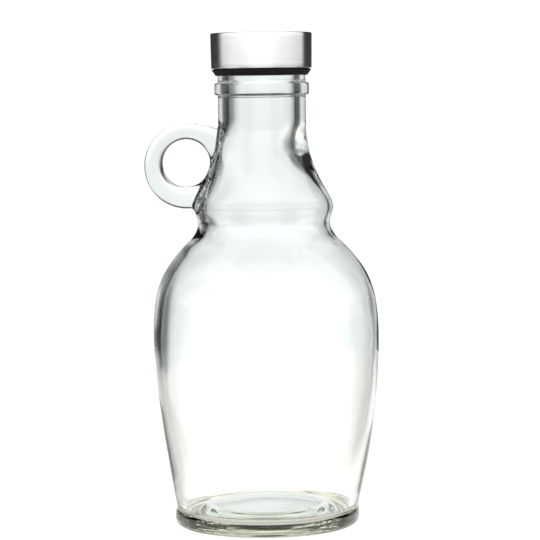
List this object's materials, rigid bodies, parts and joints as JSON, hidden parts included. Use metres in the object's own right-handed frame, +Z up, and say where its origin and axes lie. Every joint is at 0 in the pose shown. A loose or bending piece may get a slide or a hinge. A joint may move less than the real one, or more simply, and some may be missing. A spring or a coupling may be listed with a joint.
{
  "type": "handled glass jug",
  "caption": "Clear glass syrup jug with a full belly, a raised collar, a round finger loop on the neck and a brushed steel cap over a dark insert; empty inside.",
  "frame": {"origin": "centre of the overall box at the height of the base ring; the jug's own axis runs 0.9 mm to +X of it, because the finger loop reaches past the belly", "axes": "+Z up along the jug's axis, -X through the finger loop, +Y to the back"},
  "size_m": [0.0732, 0.0714, 0.1556],
  "materials": {
    "clear_glass": "clear, polished",
    "brushed_steel": "brushed round the cap",
    "dark_insert": "matt black"
  },
  "bodies": {
    "root": {"glass_jug": "clear_glass", "cap_shell": "brushed_steel", "cap_insert": "dark_insert"}
  },
  "joints": []
}
